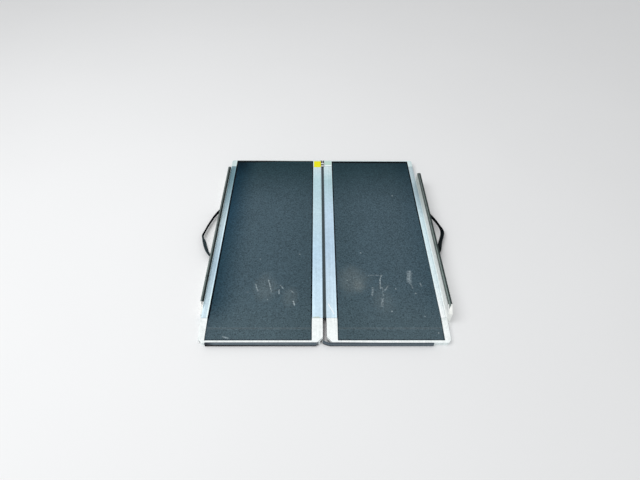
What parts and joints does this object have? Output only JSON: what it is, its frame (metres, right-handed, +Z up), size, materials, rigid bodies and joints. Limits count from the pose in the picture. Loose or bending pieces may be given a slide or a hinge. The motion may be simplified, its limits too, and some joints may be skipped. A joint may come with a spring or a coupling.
{
  "type": "folding wheelchair boarding ramp",
  "caption": "Portable two-panel boarding ramp that folds lengthwise on a link hinge, with gritted decks, sloping toe, side curbs and carrying straps.",
  "frame": {"origin": "centre of the bounding box at the ground, with the ramp opened flat", "axes": "+X across the ramp to the right panel, +Y towards the top end that lies on the sill, +Z up"},
  "size_m": [0.9355, 0.925, 0.07],
  "materials": {
    "rail_aluminium": "satin, lightly scratched",
    "curb_aluminium": "satin, lightly scratched",
    "plank_aluminium": "mill finish",
    "link_metal": "dull, soiled",
    "plate_steel": "brushed",
    "grit": "coarse gritted sheet, scuffed",
    "rubber": "matt, worn",
    "webbing": "woven webbing",
    "label": "blank sticker"
  },
  "bodies": {
    "left_panel": {"left_deck": "plank_aluminium", "left_grit": "grit", "left_outer_rail": "rail_aluminium", "left_inner_rail": "rail_aluminium", "left_toe": "rail_aluminium", "left_front_rubber": "rubber", "left_top_cap": "rail_aluminium", "left_sill_pad": "rubber", "left_curb": "curb_aluminium", "left_curb_rubber": "rubber", "left_curb_end": "curb_aluminium", "left_cross_bars": "plank_aluminium", "left_strap": "webbing", "left_strap_plates": "plate_steel"},
    "link": {"link_bar": "link_metal", "link_plates": "plate_steel"},
    "right_panel": {"right_deck": "plank_aluminium", "right_grit": "grit", "right_outer_rail": "rail_aluminium", "right_inner_rail": "rail_aluminium", "right_toe": "rail_aluminium", "right_front_rubber": "rubber", "right_top_cap": "rail_aluminium", "right_sill_pad": "rubber", "right_curb": "curb_aluminium", "right_curb_rubber": "rubber", "right_curb_end": "curb_aluminium", "right_cross_bars": "plank_aluminium", "right_strap": "webbing", "right_strap_plates": "plate_steel"}
  },
  "joints": [
    {"name": "left_fold", "type": "hinge", "parent": "left_panel", "child": "link", "pos_m": [-0.00428, 0, 0.0222], "axis": [0, -1, 0], "range_deg": [0, 85.5]},
    {"name": "right_fold", "type": "hinge", "parent": "link", "child": "right_panel", "pos_m": [0.00428, 0, 0.0222], "axis": [0, -1, 0], "range_deg": [0, 85.5]}
  ]
}
